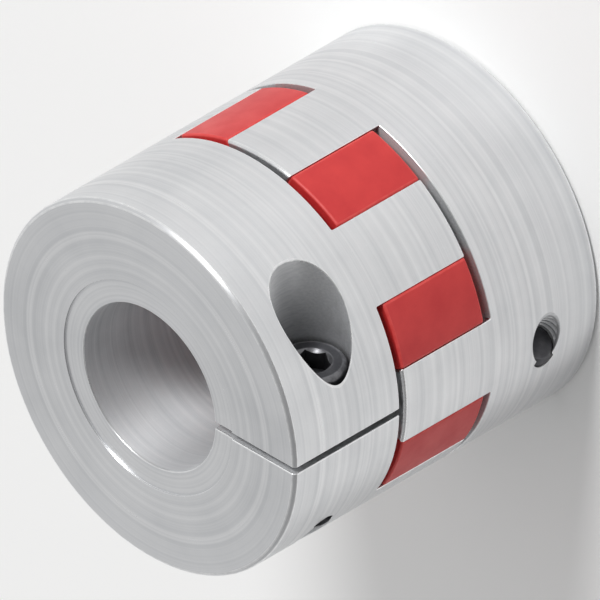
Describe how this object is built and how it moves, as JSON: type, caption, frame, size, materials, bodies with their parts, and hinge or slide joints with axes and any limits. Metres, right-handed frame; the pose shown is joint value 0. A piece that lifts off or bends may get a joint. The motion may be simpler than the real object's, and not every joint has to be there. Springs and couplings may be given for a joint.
{
  "type": "shaft coupling",
  "caption": "Jaw coupling that joins two shafts end to end: split clamping hubs with interlocking jaws round an elastomer spider, closed by socket head screws.",
  "frame": {"origin": "centre of the rear hub's end face, on the shaft axis, where the coupling stands", "axes": "+Z along the shaft axis from the rear hub to the front hub, +X along the front hub's slit, +Y towards the head of the front clamp screw"},
  "size_m": [0.056, 0.056, 0.058],
  "materials": {
    "hub": "turned and milled, natural",
    "spider": "moulded polyurethane, satin",
    "screw": "black oxide"
  },
  "bodies": {
    "root": {"front_hub": "hub", "rear_hub": "hub", "elastomer_spider": "spider", "front_clamp_screw": "screw", "rear_clamp_screw": "screw"}
  },
  "joints": []
}
